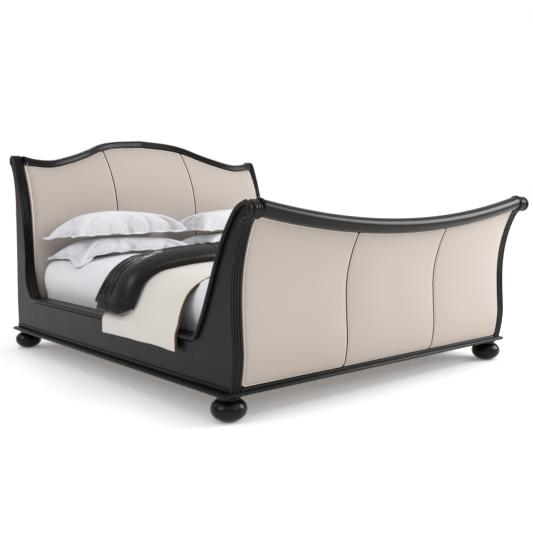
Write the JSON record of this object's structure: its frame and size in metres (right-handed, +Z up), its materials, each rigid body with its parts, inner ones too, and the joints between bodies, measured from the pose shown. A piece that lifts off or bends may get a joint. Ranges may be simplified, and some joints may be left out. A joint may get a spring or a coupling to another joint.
{
  "type": "sleigh bed",
  "caption": "Double sleigh bed with scrolled black posts, upholstered S-curved headboard and footboard, bun feet, mattress, pillows, throw and quilted runner.",
  "frame": {"origin": "on the floor, at the centre of the bed's overall length and width", "axes": "+X across the bed, +Y from the foot end towards the headboard, +Z up"},
  "size_m": [2.0658, 2.6418, 1.397],
  "materials": {
    "black_lacquer": "satin black lacquer over wood, glossier on the turned and moulded edges",
    "cream_upholstery": "smooth warm beige upholstery fabric with a soft sheen",
    "brown_piping": "dark brown corded piping",
    "plain_timber": "unpainted softwood and plywood, hidden in use",
    "white_bedding": "white cotton percale, matte",
    "cream_throw": "cream woven throw, matte, with a brown corded edge",
    "black_quilt": "black quilted satin with a low sheen"
  },
  "bodies": {
    "bed_frame": {"bun_foot_foot_end_left": "black_lacquer", "bun_foot_foot_end_right": "black_lacquer", "bun_foot_head_end_left": "black_lacquer", "bun_foot_head_end_right": "black_lacquer", "centre_beam": "plain_timber", "centre_leg_foot_end": "black_lacquer", "centre_leg_head_end": "black_lacquer", "corner_block_foot_end_left": "plain_timber", "corner_block_foot_end_right": "plain_timber", "corner_block_head_end_left": "plain_timber", "corner_block_head_end_right": "plain_timber", "footboard_bottom_rail": "black_lacquer", "footboard_collar_left": "black_lacquer", "footboard_collar_right": "black_lacquer", "footboard_core_panel": "plain_timber", "footboard_inner_panel": "cream_upholstery", "footboard_pad_centre": "cream_upholstery", "footboard_pad_left": "cream_upholstery", "footboard_pad_right": "cream_upholstery", "footboard_piping_left": "brown_piping", "footboard_piping_right": "brown_piping", "footboard_post_left": "black_lacquer", "footboard_post_right": "black_lacquer", "footboard_reeded_moulding_left": "black_lacquer", "footboard_reeded_moulding_right": "black_lacquer", "footboard_roll_rail": "black_lacquer", "footboard_sweep_moulding_left": "black_lacquer", "footboard_sweep_moulding_right": "black_lacquer", "headboard_back_panel": "black_lacquer", "headboard_bottom_rail": "black_lacquer", "headboard_core_panel": "plain_timber", "headboard_crest_rail": "black_lacquer", "headboard_pad_centre": "cream_upholstery", "headboard_pad_left": "cream_upholstery", "headboard_pad_right": "cream_upholstery", "headboard_piping_left": "brown_piping", "headboard_piping_right": "brown_piping", "headboard_post_left": "black_lacquer", "headboard_post_right": "black_lacquer", "headboard_reeded_moulding_left": "black_lacquer", "headboard_reeded_moulding_right": "black_lacquer", "plinth_foot_end": "black_lacquer", "plinth_head_end": "black_lacquer", "plinth_left": "black_lacquer", "plinth_right": "black_lacquer", "rail_cap_left": "black_lacquer", "rail_cap_right": "black_lacquer", "side_rail_left": "black_lacquer", "side_rail_right": "black_lacquer", "slat_ledger_left": "plain_timber", "slat_ledger_right": "plain_timber", "slat_set_left": "plain_timber", "slat_set_right": "plain_timber"},
    "mattress_with_throw": {"mattress": "white_bedding", "throw": "cream_throw"},
    "folded_runner": {"runner": "black_quilt"},
    "left_lower_pillow": {"pillow_lower_left": "white_bedding"},
    "right_lower_pillow": {"pillow_lower_right": "white_bedding"},
    "left_upper_pillow": {"pillow_upper_left": "white_bedding"},
    "right_upper_pillow": {"pillow_upper_right": "white_bedding"}
  },
  "joints": [
    {"name": "mattress_lift", "type": "slide", "parent": "bed_frame", "child": "mattress_with_throw", "axis": [0, 0, 1], "range_m": [0, 0.3]},
    {"name": "runner_lift", "type": "slide", "parent": "mattress_with_throw", "child": "folded_runner", "axis": [0, 0, 1], "range_m": [0, 0.25]},
    {"name": "left_lower_pillow_lift", "type": "slide", "parent": "mattress_with_throw", "child": "left_lower_pillow", "axis": [0, 0, 1], "range_m": [0, 0.2]},
    {"name": "right_lower_pillow_lift", "type": "slide", "parent": "mattress_with_throw", "child": "right_lower_pillow", "axis": [0, 0, 1], "range_m": [0, 0.2]},
    {"name": "left_upper_pillow_lift", "type": "slide", "parent": "left_lower_pillow", "child": "left_upper_pillow", "axis": [0, 0, 1], "range_m": [0, 0.2]},
    {"name": "right_upper_pillow_lift", "type": "slide", "parent": "right_lower_pillow", "child": "right_upper_pillow", "axis": [0, 0, 1], "range_m": [0, 0.2]}
  ]
}
